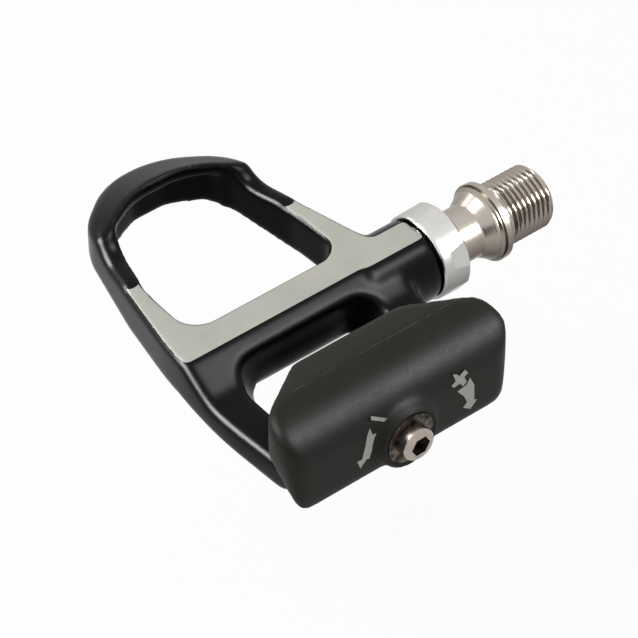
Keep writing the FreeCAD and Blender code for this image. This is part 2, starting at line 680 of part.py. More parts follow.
def make_jaw():
    """Moulded jaw: hook, rolled back and skirts, hollow below, with hinge ears and a boss for the bolt."""
    body = new_body("clip_jaw", "-stance")
    side = new_sketch(body, "YZ_Plane", "side")
    outline(side, [
        ("-jaw_front", "jaw_nose_under", "0"),
        ("-jaw_front", "jaw_nose_top", "jaw_lip_round"),
        ("-jaw_crest_back", "jaw_crest", "jaw_crest_round"),
        ("-jaw_back", "jaw_crown", "jaw_roll"),
        ("-jaw_back", "-jaw_bottom", "jaw_lip_round"),
        ("-jaw_throat", "-jaw_bottom", "0"),
        ("-jaw_throat", "jaw_nose_under", "jaw_lip_round"),
    ])
    pad(body, side, "2 * jaw_half", "moulding", symmetric=True)
    around = "2 * jaw_back"
    plan = new_sketch(body, "XY_Plane", "plan")
    outline(plan, box_corners(f"-{around}", around, f"-{around}", around))
    outline(plan, mirrored([
        ("jaw_front_half", "-jaw_front", "jaw_front_round"),
        ("jaw_half", "-jaw_sweep_back", "jaw_sweep_round"),
        ("jaw_half", "-jaw_back", "jaw_corner_round"),
    ]))
    pocket(body, plan, around, "plan_trim", symmetric=True)
    back = new_sketch(body, "XZ_Plane", "back")
    outline(back, box_corners(f"-{around}", around, f"-{around}", around))
    outline(back, mirrored([
        ("jaw_bottom_half", "-jaw_bottom", "jaw_bottom_round"),
        ("jaw_half", "jaw_crest / 2", "0"),
        ("jaw_half", "jaw_crest", "jaw_top_round"),
    ]))
    pocket(body, back, around, "back_trim", symmetric=False, reverse=True)
    inner_back = "(jaw_back - jaw_wall)"
    skirt = new_sketch(body, "YZ_Plane", "skirt")
    outline(skirt, [
        ("-jaw_front / 2", "jaw_skirt", "0"),
        ("-jaw_sweep_back", "jaw_skirt", "jaw_wall"),
        (f"-{inner_back}", "-jaw_hem", "0"),
        (f"-{inner_back}", "-2 * jaw_bottom", "0"),
        ("-jaw_front / 2", "-2 * jaw_bottom", "0"),
    ])
    pocket(body, skirt, around, "skirt_cut", symmetric=True)
    inside = new_sketch(body, "XY_Plane", "inside", "jaw_ceiling")
    outline(inside, mirrored([
        ("jaw_front_half", "-jaw_throat - jaw_wall", "jaw_wall"),
        ("jaw_half - jaw_end_wall", "-jaw_sweep_back - jaw_wall", "jaw_wall"),
        ("jaw_half - jaw_end_wall", f"-{inner_back}", "jaw_wall"),
    ]))
    pocket(body, inside, around, "inside_cut")
    vault = new_sketch(body, "YZ_Plane", "vault")
    outline(vault, [
        ("-jaw_throat - jaw_wall", "jaw_ceiling - trim", "0"),
        ("-jaw_throat - jaw_wall", "jaw_vault", "trim"),
        (f"-{inner_back}", "jaw_vault - trim", "jaw_roll - jaw_wall"),
        (f"-{inner_back}", "jaw_ceiling - jaw_bottom", "0"),
    ])
    pocket(body, vault, "2 * jaw_front_half", "vault_cut", symmetric=True)
    for number, start in enumerate(("ear_inner", "-ear_outer"), 1):
        ear = new_sketch(body, "YZ_Plane", f"ear_{number}", start)
        outline(ear, [
            ("-hinge_back - ear_radius", "jaw_vault + trim / 2", "0"),
            ("-hinge_back - ear_radius", "-hinge_drop - ear_radius", f"{NEARLY} * ear_radius"),
            ("-hinge_back + ear_radius", "-hinge_drop - ear_radius", f"{NEARLY} * ear_radius"),
            ("-hinge_back + ear_radius", "jaw_vault + trim / 2", "0"),
        ])
        pad(body, ear, "ear_outer - ear_inner", f"ear_pad_{number}")
    boss = new_sketch(body, "YZ_Plane", "boss", rise="bolt_rise")
    outline(boss, [
        (f"-{inner_back}", "0", "0"),
        (f"-{inner_back}", "boss_radius + boss_flare", "0"),
        ("-jaw_back", "boss_radius + boss_flare", "0"),
        ("-jaw_back - boss_flare", "boss_radius", "boss_flare"),
        ("-boss_reach", "boss_radius", "boss_rim"),
        ("-boss_reach", "0", "0"),
    ])
    revolve(body, boss, "boss_turn")
    recess = new_sketch(body, "XZ_Plane", "recess", "seat_back")
    disc(recess, "0", "bolt_rise", "recess_radius")
    pocket(body, recess, "boss_reach", "recess_cut", reverse=True)
    bolt_hole = new_sketch(body, "XZ_Plane", "bolt_hole", f"{inner_back} - trim")
    disc(bolt_hole, "0", "bolt_rise", "bolt_radius + bolt_gap")
    pocket(body, bolt_hole, "boss_reach", "bolt_hole_cut", reverse=True)
    pin_hole = new_sketch(body, "YZ_Plane", "pin_hole")
    disc(pin_hole, "-hinge_back", "-hinge_drop", "pin_radius + running_gap")
    pocket(body, pin_hole, "2 * jaw_half", "pin_hole_cut", symmetric=True)


def make_adjuster():
    """Bolt with washer at the back of the jaw, and the plate that it draws against the spring legs."""
    washer = new_body("bolt_washer", "-stance")
    sketch = new_sketch(washer, "XZ_Plane", "section", "seat_back")
    disc(sketch, "0", "bolt_rise", "washer_radius")
    disc(sketch, "0", "bolt_rise", "bolt_radius + bolt_gap")
    pad(washer, sketch, "washer_width", "washer_pad")
    head_seat = "(seat_back + washer_width)"
    bolt = new_body("adjusting_bolt", "-stance")
    section = new_sketch(bolt, "YZ_Plane", "section", rise="bolt_rise")
    outline(section, [
        ("-bolt_end", "0", "0"),
        ("-bolt_end", "bolt_radius - bolt_gap", "0"),
        ("-bolt_end - bolt_gap", "bolt_radius", "0"),
        (f"-{head_seat}", "bolt_radius", "0"),
        (f"-{head_seat}", "bolt_head_radius", "0"),
        (f"-{head_seat} - bolt_head_width", "bolt_head_radius", "bolt_head_round"),
        (f"-{head_seat} - bolt_head_width", "0", "0"),
    ])
    revolve(bolt, section, "bolt_turn")
    socket = new_sketch(bolt, "XZ_Plane", "socket", f"{head_seat} + bolt_head_width")
    outline(socket, hexagon_corners("0", "bolt_rise", "socket_width", "0"))
    pocket(bolt, socket, "socket_depth", "socket_cut")
    plate = new_body("tension_plate", "-stance")
    wings = new_sketch(plate, "XZ_Plane", "wings", "plate_back - plate_width")
    outline(wings, [
        ("-plate_half", "plate_low", "plate_round"),
        ("-plate_hub", "plate_low", "0"),
        ("-plate_hub", "bolt_rise - plate_hub", "2 * plate_round"),
        ("plate_hub", "bolt_rise - plate_hub", "2 * plate_round"),
        ("plate_hub", "plate_low", "0"),
        ("plate_half", "plate_low", "plate_round"),
        ("plate_half", "plate_top", "plate_round"),
        ("-plate_half", "plate_top", "plate_round"),
    ])
    pad(plate, wings, "plate_width", "plate_pad")
    thread = new_sketch(plate, "XZ_Plane", "thread", "plate_back")
    disc(thread, "0", "bolt_rise", "bolt_radius + running_gap")
    pocket(plate, thread, "plate_width", "thread_cut")


def rod(start, end, radius):
    """A straight stretch of round wire."""
    return Part.makeCylinder(radius, (end - start).Length, start, end - start)


def bend(start, heading, centre, angle, radius):
    """A stretch of round wire that leaves start along its heading and turns about a centre."""
    section = Part.Face(Part.Wire([Part.Circle(start, heading, radius).toShape()]))
    return section.revolve(centre, (start - centre).cross(heading), angle)


def make_spring(label, side):
    """Torsion spring round the hinge pin, one leg under the web and one behind the tension plate."""
    wire = size("wire_radius")
    corner = size("leg_bend")
    back = Vector(0, -1, 0)
    middle = Vector(0, -size("hinge_back"), -size("hinge_drop"))
    drop = Vector(0, 0, -size("coil_radius"))
    step = Vector(side * size("coil_pitch"), 0, 0)
    low = middle + drop + Vector(side * size("coil_start"), 0, 0)
    web = Vector(low.x, -size("web_back - web_thick / 2"), low.z)
    stretches = [rod(low, web, wire)]
    for turn in range(int(size("coil_turns"))):
        high = low - drop * 2 + step / 2
        following = low + step
        stretches.append(bend(low, back, (low + high) / 2, 180, wire))
        stretches.append(bend(high, -back, (high + following) / 2, 180, wire))
        low = following
    rear = Vector(low.x, corner - size("plate_back + wire_radius + leg_gap"), low.z)
    raised = rear + Vector(0, -corner, corner)
    stretches.append(rod(low, rear, wire))
    stretches.append(bend(rear, back, rear + Vector(0, 0, corner), 90, wire))
    stretches.append(rod(raised, Vector(raised.x, raised.y, size("leg_top")), wire))
    spring = doc.addObject("Part::Feature", label)
    spring.Label = label
    spring.Shape = stretches[0].multiFuse(stretches[1:])
    spring.Placement = FreeCAD.Placement(Vector(-size("stance"), 0, 0), FreeCAD.Rotation())


make_axle()
make_bearings()
make_circlip()
make_nut()
make_pedal_body()
make_pin()
make_jaw()
make_adjuster()
make_spring("spring_left", -1)
make_spring("spring_right", 1)
doc.recompute()

pieces = [item for item in doc.Objects
          if item.TypeId in ("PartDesign::Body", "Part::Sphere", "Part::Cylinder", "Part::Feature")]
for item in doc.Objects:
    if "Invalid" in item.State or "Error" in item.State:
        raise RuntimeError(f"{item.Label} failed to build")
for piece in pieces:
    if piece.Shape.isNull() or not piece.Shape.isValid():
        raise RuntimeError(f"{piece.Label} has no valid shape")
os.makedirs("parts", exist_ok=True)
for piece in pieces:
    piece.Shape.exportStep(f"parts/{piece.Label}.step")
    print(piece.Label, len(piece.Shape.Solids), round(piece.Shape.Volume, 1))
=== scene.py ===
import math

import bmesh
import bpy
from mathutils import Matrix, Vector


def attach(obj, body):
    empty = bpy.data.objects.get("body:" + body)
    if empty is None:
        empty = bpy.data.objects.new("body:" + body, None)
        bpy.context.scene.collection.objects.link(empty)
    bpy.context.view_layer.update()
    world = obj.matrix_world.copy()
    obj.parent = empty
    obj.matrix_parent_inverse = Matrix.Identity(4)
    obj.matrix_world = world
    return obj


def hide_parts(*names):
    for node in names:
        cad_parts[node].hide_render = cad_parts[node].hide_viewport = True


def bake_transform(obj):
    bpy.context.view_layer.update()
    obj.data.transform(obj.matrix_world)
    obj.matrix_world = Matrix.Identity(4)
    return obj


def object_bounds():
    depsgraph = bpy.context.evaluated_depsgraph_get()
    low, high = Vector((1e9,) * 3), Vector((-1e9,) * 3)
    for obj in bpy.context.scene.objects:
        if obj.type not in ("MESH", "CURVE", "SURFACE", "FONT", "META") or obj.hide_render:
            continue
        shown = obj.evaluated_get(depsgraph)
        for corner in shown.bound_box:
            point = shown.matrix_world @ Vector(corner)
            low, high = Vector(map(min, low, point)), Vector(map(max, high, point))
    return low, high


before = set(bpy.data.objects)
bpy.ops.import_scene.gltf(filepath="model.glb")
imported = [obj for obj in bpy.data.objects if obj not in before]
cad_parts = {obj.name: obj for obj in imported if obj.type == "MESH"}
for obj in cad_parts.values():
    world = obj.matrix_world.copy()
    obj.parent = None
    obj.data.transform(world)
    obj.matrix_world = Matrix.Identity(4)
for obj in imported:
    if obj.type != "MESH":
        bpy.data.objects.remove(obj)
cad_low, cad_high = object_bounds()

# Places in the shared frame, in metres: the pedal's middle across, and parts of the casting and the jaw
MM = 0.001
MIDDLE = -54.8 * MM
PLATFORM = 8.45 * MM
JAW_BACK = -38.4 * MM
MOULD_LINE = -27.6 * MM
TOE_OPENING = (MIDDLE, 20 * MM, 0)
REAR_WINDOW = (MIDDLE, -14.5 * MM, 0)

# Up, outward and back: bare metal is coloured brighter on this side, as reflections make it in the photo
PAINTED_BRIGHT_SIDE = (-0.35, -0.35, 0.87)


def srgb(red, green, blue):
    """Linear colour of a screen colour given in 0 to 255."""
    linear = []
    for part in (red, green, blue):
        share = part / 255
        linear.append(share / 12.92 if share <= 0.04045 else ((share + 0.055) / 1.055) ** 2.4)
    return (*linear, 1.0)


# Materials

class Surface:
    """A node material: adds nodes, joins sockets, and ends in one principled shader."""

    def __init__(self, name, colour, roughness, metallic=0.0, **shader):
        self.material = bpy.data.materials.new(name)
        self.material.use_nodes = True
        self.tree = self.material.node_tree
        self.shader = self.tree.nodes["Principled BSDF"]
        self.set("Base Color", colour)
        self.set("Roughness", roughness)
        self.set("Metallic", metallic)
        for socket, value in shader.items():
            self.set(socket.replace("_", " "), value)
        coordinates = self.tree.nodes.new("ShaderNodeTexCoord")
        self.place = coordinates.outputs["Object"]
        self.facing = coordinates.outputs["Normal"]

    def set(self, socket, value):
        """Sets a shader input to a constant, or joins it to another socket."""
        if isinstance(value, bpy.types.NodeSocket):
            self.tree.links.new(value, self.shader.inputs[socket])
        else:
            self.shader.inputs[socket].default_value = value

    def node(self, kind, output, settings=None, **inputs):
        """Adds a node, sets or joins its inputs, named or as _number, and gives back one of its outputs."""
        made = self.tree.nodes.new("ShaderNode" + kind)
        for setting, value in (settings or {}).items():
            setattr(made, setting, value)
        for socket, value in inputs.items():
            numbered = socket[1:].isdigit()
            slot = made.inputs[int(socket[1:]) if numbered else socket.replace("_", " ")]
            if isinstance(value, bpy.types.NodeSocket):
                self.tree.links.new(value, slot)
            else:
                slot.default_value = value
        return made.outputs[output]

    def noise(self, scale, detail, stretch=(1, 1, 1), roughness=0.5):
        """Noise over the piece, in marks per metre, drawn out along any axis."""
        place = self.place
        if stretch != (1, 1, 1):
            place = self.node("Mapping", "Vector", Vector=self.place, Scale=stretch)
        return self.node("TexNoise", "Fac", Vector=place, Scale=scale, Detail=detail, Roughness=roughness)

    def maths(self, operation, first, second=0.0):
        """One step of arithmetic."""
        return self.node("Math", "Value", {"operation": operation}, _0=first, _1=second)

    def spread(self, factor, low, high, from_low=0.0, from_high=1.0):
        """Maps a factor to a range."""
        return self.node("MapRange", "Result", Value=factor, From_Min=from_low, From_Max=from_high,
                         To_Min=low, To_Max=high)

    def blend(self, factor, first, second):
        """Mixes two colours."""
        return self.node("Mix", 2, {"data_type": "RGBA"}, _0=factor, _6=first, _7=second)

    def choose(self, factor, first, second):
        """Mixes two plain values."""
        return self.node("Mix", 0, {"data_type": "FLOAT"}, _0=factor, _2=first, _3=second)

    def dot(self, first, second):
        """How far two unit vectors agree: one when they are the same."""
        return self.node("VectorMath", "Value", {"operation": "DOT_PRODUCT"}, _0=first, _1=second)

    def axis(self, vector, letter):
        """One part of a vector."""
        return self.node("SeparateXYZ", letter, Vector=vector)

    def bump(self, height, distance, strength, normal=None):
        """Small relief, with its depth in metres."""
        joined = {"Normal": normal} if normal else {}
        return self.node("Bump", "Normal", Height=height, Distance=distance, Strength=strength, **joined)

    def openness(self, reach):
        """How open the surroundings are within a reach in metres: low in corners and hollows."""
        return self.node("AmbientOcclusion", "AO", {"samples": 8}, Distance=reach)

    def painted_bright_side(self, low, high):
        """One on the side where bare metal gets a painted brighter reflection, falling to none on the far
        side, which is painted dark as shade.
        """
        return self.spread(self.dot(self.facing, PAINTED_BRIGHT_SIDE), 0.0, 1.0, low, high)

    def inward(self, middle):
        """How far the surface faces the middle of an opening."""
        towards = self.node("VectorMath", "Vector", {"operation": "SUBTRACT"}, _0=middle, _1=self.place)
        towards = self.node("VectorMath", "Vector", {"operation": "NORMALIZE"}, _0=towards)
        return self.dot(towards, self.facing)

    def soft_edge(self, radius, samples=6):
        """Normal that rounds sharp edges by a radius in metres."""
        return self.node("Bevel", "Normal", {"samples": samples}, Radius=radius)


def paint_surface():
    """Black casting paint with a light orange peel, and bare milled metal on the cleat platform.

    The paint's shine is raised on edges, a painted highlight, and lowered in corners and on the walls of the
    two openings, painted shade.
    """
    paint, dusty = srgb(4, 4, 4), srgb(9, 9, 9)
    metal, dull_metal = srgb(182, 181, 172), srgb(164, 163, 155)
    milling_reach, level_facing = 0.12 * MM, 0.92
    edge_round, corner_reach, relief_depth = 1.7 * MM, 9 * MM, 0.004 * MM
    surface = Surface("body_paint_look", paint, 0.3)
    height = surface.axis(surface.place, "Z")
    off_plane = surface.maths("ABSOLUTE", surface.maths("SUBTRACT", height, PLATFORM))
    on_plane = surface.maths("LESS_THAN", off_plane, milling_reach)
    level = surface.maths("GREATER_THAN", surface.axis(surface.facing, "Z"), level_facing)
    bare = surface.maths("MULTIPLY", on_plane, level)
    cloud = surface.noise(90, 4)
    peel = surface.noise(1500, 2)
    milling = surface.noise(2600, 2, (0.04, 1, 1))
    painted = surface.blend(cloud, paint, dusty)
    milled = surface.blend(cloud, dull_metal, metal)
    surface.set("Base Color", surface.blend(bare, painted, milled))
    surface.set("Metallic", surface.maths("MULTIPLY", bare, 0.9))
    soft = surface.soft_edge(edge_round, 10)
    straight = surface.node("NewGeometry", "Normal")
    # Painted highlight: the paint's shine is raised up to fourfold on edges, where the rounded normal turns
    # from the flat one.
    edge_highlight = surface.spread(surface.dot(soft, straight), 1.0, 4.0, from_low=0.99, from_high=0.85)
    # Painted shade: the paint's shine is lowered on walls that face into the toe opening and the rear window,
    # and in corners and hollows.
    dull = 1.0
    for middle in (TOE_OPENING, REAR_WINDOW):
        wall = surface.spread(surface.inward(middle), 1.0, 0.3, from_low=0.3, from_high=0.8)
        dull = surface.maths("MINIMUM", wall, dull)
    shine = surface.spread(surface.openness(corner_reach), 0.02, 0.1, from_low=0.3, from_high=0.9)
    shine = surface.maths("MULTIPLY", shine, dull)
    surface.set("Specular IOR Level", surface.maths("MULTIPLY", shine, edge_highlight))
    paint_gloss = surface.spread(cloud, 0.2, 0.32)
    metal_gloss = surface.spread(milling, 0.24, 0.36)
    surface.set("Roughness", surface.choose(bare, paint_gloss, metal_gloss))
    relief = surface.choose(bare, peel, milling)
    normal = surface.node("Mix", 1, {"data_type": "VECTOR"}, _0=bare, _4=soft, _5=straight)
    surface.set("Normal", surface.bump(relief, relief_depth, 0.5, normal))
    return surface.material


def plastic_surface():
    """Matte moulded plastic with a fine grain, a dusty bloom and a faint mould line across the top."""
    line_half, line_wander, edge_round, grain_depth = 0.09 * MM, 0.25 * MM, 3.0 * MM, 0.03 * MM
    dark, dusty, line = srgb(20, 20, 16), srgb(38, 38, 32), srgb(78, 78, 72)
    surface = Surface("jaw_plastic_look", srgb(34, 34, 31), 0.5, Specular_IOR_Level=0.12)
    cloud = surface.noise(70, 4)
    grain = surface.noise(4200, 2)
    mottle = surface.choose(0.55, cloud, surface.noise(1700, 3, roughness=0.7))
    colour = surface.blend(surface.spread(mottle, 0.0, 1.0, from_low=0.3, from_high=0.7), dark, dusty)
    along = surface.axis(surface.place, "Y")
    wander = surface.spread(surface.noise(160, 3), -line_wander, line_wander)
    from_seam = surface.maths("ADD", along, surface.maths("ADD", wander, -MOULD_LINE))
    near = surface.maths("LESS_THAN", surface.maths("ABSOLUTE", from_seam), line_half)
    upward = surface.maths("GREATER_THAN", surface.axis(surface.facing, "Z"), 0.3)
    seam = surface.maths("MULTIPLY", near, upward)
    breaks = surface.spread(surface.noise(500, 2), 0.0, 1.0, from_low=0.4, from_high=0.6)
    patchy = surface.maths("MULTIPLY", seam, breaks)
    surface.set("Base Color", surface.blend(patchy, colour, line))
    surface.set("Roughness", surface.spread(mottle, 0.44, 0.6, from_low=0.3, from_high=0.7))
    height = surface.maths("ADD", grain, surface.maths("MULTIPLY", patchy, 2.0))
    surface.set("Normal", surface.bump(height, grain_depth, 0.8, surface.soft_edge(edge_round, 10)))
    return surface.material


def turned_steel_surface():
    """Warm plated steel with turning lines round the axle."""
    surface = Surface("axle_steel_look", srgb(196, 186, 176), 0.24, metallic=1.0)
    lines = surface.noise(5200, 2, (1, 0.02, 0.02))
    cloud = surface.noise(160, 4)
    # Painted reflection and shade: the steel is coloured light on the side facing up, outward and back and
    # dark brown on the far side, varied by a random cloud.
    bright = surface.maths("MULTIPLY", surface.painted_bright_side(0.15, 0.95), surface.spread(cloud, 0.8, 1.1))
    surface.set("Base Color", surface.blend(bright, srgb(84, 73, 65), srgb(188, 180, 170)))
    surface.set("Roughness", surface.spread(lines, 0.16, 0.32))
    surface.set("Normal", surface.bump(lines, 0.004 * MM, 0.5))
    return surface.material


def aluminium_surface():
    """Bright tumbled aluminium with soft edges."""
    surface = Surface("nut_aluminium_look", srgb(214, 215, 217), 0.34, metallic=1.0)
    cloud = surface.noise(220, 4)
    fine = surface.noise(3600, 2, (0.3, 1, 1))
    # Painted reflection and shade: the aluminium is coloured light on the side facing up, outward and back
    # and grey on the far side, varied by a random cloud.
    bright = surface.maths("MULTIPLY", surface.painted_bright_side(0.1, 0.95), surface.spread(cloud, 0.8, 1.05))
    surface.set("Base Color", surface.blend(bright, srgb(112, 110, 106), srgb(220, 219, 215)))
    surface.set("Roughness", surface.spread(fine, 0.14, 0.28))
    surface.set("Normal", surface.bump(fine, 0.004 * MM, 0.5, surface.soft_edge(0.6 * MM, 8)))
    return surface.material


def plated_surface():
    """Bright plating with a slight warm cast, and painted shade that makes it dark inside the bolt's socket.
    """
    surface = Surface("bright_steel_look", srgb(190, 182, 172), 0.26, metallic=1.0)
    cloud = surface.noise(420, 4)
    plating = surface.blend(cloud, srgb(140, 128, 118), srgb(196, 184, 174))
    # Painted shade: the colour goes dark brown in the socket and other hollows, where the surroundings close
    # in within 3 mm.
    clear = surface.spread(surface.openness(3 * MM), 0.0, 1.0, from_low=0.35, from_high=0.8)
    surface.set("Base Color", surface.blend(clear, srgb(34, 27, 24), plating))
    surface.set("Roughness", surface.spread(cloud, 0.18, 0.38))
    surface.set("Normal", surface.bump(surface.noise(2400, 3), 0.006 * MM, 0.5, surface.soft_edge(0.15 * MM)))
    return surface.material


def washer_surface():
    """Dull browned plating of the washer, darker in patches."""
    surface = Surface("washer_steel_look", srgb(110, 100, 91), 0.4, metallic=1.0)
    cloud = surface.noise(520, 4)
    patches = surface.spread(cloud, 0.0, 1.0, from_low=0.38, from_high=0.68)
    surface.set("Base Color", surface.blend(patches, srgb(22, 19, 17), srgb(112, 102, 93)))
    surface.set("Roughness", surface.spread(cloud, 0.5, 0.3))
    surface.set("Normal", surface.bump(surface.noise(2400, 3), 0.008 * MM, 0.6, surface.soft_edge(0.15 * MM)))
    return surface.material


def plain_steel_surface():
    """Plain drawn steel with lengthwise marks and a little staining."""
    surface = Surface("plain_steel_look", srgb(150, 148, 145), 0.36, metallic=1.0)
    drawn = surface.noise(3000, 2, (0.05, 1, 1))
    stain = surface.noise(150, 5)
    surface.set("Base Color", surface.blend(stain, srgb(120, 116, 110), srgb(168, 166, 162)))
    surface.set("Roughness", surface.spread(drawn, 0.26, 0.46))
    surface.set("Normal", surface.bump(drawn, 0.005 * MM, 0.5))
    return surface.material


def spring_surface():
    """Oiled spring wire, dark and slightly blue, with drawing marks."""
    surface = Surface("spring_steel_look", srgb(92, 94, 98), 0.32, metallic=1.0)
    drawn = surface.noise(2600, 3)
    oil = surface.noise(260, 4)
    surface.set("Base Color", surface.blend(oil, srgb(72, 74, 78), srgb(116, 117, 119)))
    surface.set("Roughness", surface.spread(oil, 0.24, 0.42))
    surface.set("Normal", surface.bump(drawn, 0.006 * MM, 0.5))
    return surface.material


def bearing_surface():
    """Ground bearing steel with a fine lapped finish and a film of grease."""
    surface = Surface("bearing_steel_look", srgb(205, 206, 208), 0.12, metallic=1.0)
    film = surface.noise(300, 4)
    lapped = surface.noise(6000, 2, (1, 0.05, 0.05))
    surface.set("Base Color", surface.blend(film, srgb(188, 188, 186), srgb(214, 215, 218)))
    surface.set("Roughness", surface.spread(film, 0.08, 0.22))
    surface.set("Normal", surface.bump(lapped, 0.002 * MM, 0.4))
    return surface.material


def cage_surface():
    """Natural nylon cage, slightly mottled."""
    surface = Surface("cage_plastic_look", srgb(196, 184, 150), 0.48)
    mottle = surface.noise(400, 4)
    surface.set("Base Color", surface.blend(mottle, srgb(180, 166, 130), srgb(208, 197, 166)))
    surface.set("Roughness", surface.spread(mottle, 0.4, 0.56))
    surface.set("Normal", surface.bump(surface.noise(3000, 2), 0.006 * MM, 0.5))
    return surface.material


def rubber_surface():
    """Dull nitrile rubber with dust in its grain."""
    surface = Surface("seal_rubber_look", srgb(28, 28, 29), 0.7)
    dust = surface.noise(700, 4)
    surface.set("Base Color", surface.blend(dust, srgb(22, 22, 23), srgb(40, 40, 40)))
    surface.set("Roughness", surface.spread(dust, 0.62, 0.8))
    surface.set("Normal", surface.bump(surface.noise(3600, 2), 0.01 * MM, 0.6))
    return surface.material


def ink_surface():
    """Worn pale ink of the printed marks."""
    surface = Surface("mark_ink_look", srgb(176, 176, 170), 0.6)
    worn = surface.noise(1400, 4)
    surface.set("Base Color", surface.blend(worn, srgb(176, 173, 164), srgb(222, 219, 209)))
    surface.set("Roughness", surface.spread(worn, 0.5, 0.7))
    surface.set("Normal", surface.bump(worn, 0.01 * MM, 0.5))
    return surface.material


LOOKS = {
    "body_paint": paint_surface(),
    "jaw_plastic": plastic_surface(),
    "axle_steel": turned_steel_surface(),
    "nut_aluminium": aluminium_surface(),
    "bright_steel": plated_surface(),
    "plain_steel": plain_steel_surface(),
    "spring_steel": spring_surface(),
    "bearing_steel": bearing_surface(),
    "cage_plastic": cage_surface(),
    "seal_rubber": rubber_surface(),
}
INK = ink_surface()

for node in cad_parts.values():
    for slot in node.material_slots:
        slot.material = LOOKS[slot.material.name]
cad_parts["bolt_washer"].material_slots[0].material = washer_surface()


# Pieces

def make_piece(name, vertices, faces, look, body):
    """A mesh piece in the shared frame that rides on a body."""
    mesh = bpy.data.meshes.new(name)
    mesh.from_pydata(vertices, [], faces)
    mesh.validate()
    mesh.materials.append(look)
    piece = bpy.data.objects.new(name, mesh)
    bpy.context.collection.objects.link(piece)
    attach(piece, body)
    return piece


# Casting and jaw with rounded edges

WELD_REACH = 0.001 * MM
SMOOTH_SHARE = 0.5


def make_rounded(name, node_name, grain, rounds, body, slot_name):
    """A cast or moulded piece with its edges rounded: a copy of the solid as an even mesh, then smoothed."""
    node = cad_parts[node_name]
    solid = node.data.copy()
    solid.transform(node.matrix_world)
    piece = bpy.data.objects.new(name, solid)
    bpy.context.collection.objects.link(piece)
    weld = piece.modifiers.new("weld", "WELD")
    weld.merge_threshold = WELD_REACH
    even = piece.modifiers.new("even", "REMESH")
    even.mode = "VOXEL"
    even.voxel_size = grain
    even.use_smooth_shade = True
    smooth = piece.modifiers.new("smooth", "SMOOTH")
    smooth.factor = SMOOTH_SHARE
    smooth.iterations = rounds
    shaped = piece.evaluated_get(bpy.context.evaluated_depsgraph_get())
    mesh = bpy.data.meshes.new_from_object(shaped)
    piece.modifiers.clear()
    piece.data = mesh
    mesh.name = name
    mesh.materials.clear()
    mesh.materials.append(LOOKS[slot_name])
    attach(piece, body)
    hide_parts(node_name)
    return piece


casting = make_rounded("body_cast", "pedal_body", grain=0.42 * MM, rounds=26,
                       body="pedal_body", slot_name="body_paint")
jaw = make_rounded("jaw_moulded", "clip_jaw", grain=0.5 * MM, rounds=14,
                   body="clip", slot_name="jaw_plastic")


# Torsion springs, as copies of their solids

def make_spring(name, node_name):
    """A torsion spring: a copy of its solid in spring steel, fixed in place."""
    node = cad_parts[node_name]
    mesh = node.data.copy()
    mesh.transform(node.matrix_world)
    mesh.materials.clear()
    mesh.materials.append(LOOKS["spring_steel"])
    piece = bpy.data.objects.new(name, mesh)
    bpy.context.collection.objects.link(piece)
    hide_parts(node_name)
    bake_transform(piece)


make_spring("spring_wound_left", "spring_left")
make_spring("spring_wound_right", "spring_right")


# Axle with its cut thread, in millimetres

THREAD_RADIUS = 7.1
THREAD_DEPTH = 0.72
THREAD_PITCH = 1.27
THREAD_LENGTH = 13.0
THREAD_CHAMFER = 1.2
THREAD_START = 0.5
THREAD_RUNOUT = 0.8 * THREAD_PITCH
CREST_FLAT = 0.12
FLANK_SLOPE = 1.25
SOCKET_FLATS = 8.0
SOCKET_DEPTH = 7.0
SOCKET_CHAMFER = 0.3
AXIS = 0.001
SHARP_ANGLE = 30
JOIN_REACH = 0.002
AROUND = 96
TURN_STEPS = 12
ROUND_STEPS = 8


def rounded(corners):
    """Places of an open outline whose corners, given with a radius each, are turned into arcs."""
    places = []
    for index, (along, out, radius) in enumerate(corners):
        corner = Vector((along, out))
        if not radius:
            places.append(corner)
            continue
        before = (Vector(corners[index - 1][:2]) - corner).normalized()
        after = (Vector(corners[index + 1][:2]) - corner).normalized()
        half = before.angle(after) / 2
        centre = corner + (before + after).normalized() * radius / math.sin(half)
        start = corner + before * radius / math.tan(half) - centre
        stop = corner + after * radius / math.tan(half) - centre
        for step in range(ROUND_STEPS + 1):
            share = step / ROUND_STEPS
            places.append(centre + start.slerp(stop, share))
    return places


def axle_section():
    """Half section from the flange to the far end: places along the axle, radii and corner rounds."""
    flange, groove, dome, neck = 8.7, 8.2, 8.3, 5.8
    race_seat, clip_groove, shaft, journal = 5.0, 4.25, 4.6, 3.35
    return rounded([
        (0.0, THREAD_RADIUS, 0), (0.0, dome, 0), (-0.4, flange, 0), (-1.8, flange, 0), (-1.8, groove, 0),
        (-2.3, groove, 0), (-2.3, dome, 0), (-3.43, dome, 1.6), (-5.7, neck, 1.13), (-24.9, neck, 0),
        (-24.9, race_seat, 0), (-28.9, race_seat, 0), (-28.9, clip_groove, 0), (-29.7, clip_groove, 0),
        (-29.7, shaft, 0), (-65.9, shaft, 0), (-65.9, journal, 0), (-75.7, journal, 0), (-75.7, AXIS, 0),
    ])


def thread_radius(along, angle):
    """Radius of the cut thread: a V form that runs out at the flange and at the chamfered end."""
    phase = (along / THREAD_PITCH + angle / math.tau) % 1.0
    form = abs(2 * phase - 1)
    cut = THREAD_DEPTH * min(1.0, max(0.0, FLANK_SLOPE * form - CREST_FLAT))
    runout = min(1.0, max(0.0, (along - THREAD_START) / THREAD_RUNOUT))
    limit = THREAD_RADIUS - max(0.0, along - (THREAD_LENGTH - THREAD_CHAMFER))
    return min(limit, THREAD_RADIUS - cut * runout)


def hexagon_radius(angle):
    """Distance from the axis to the side of the hexagon socket."""
    side = math.tau / 6
    turned = (angle + side / 2) % side - side / 2
    return SOCKET_FLATS / 2 / math.cos(turned)


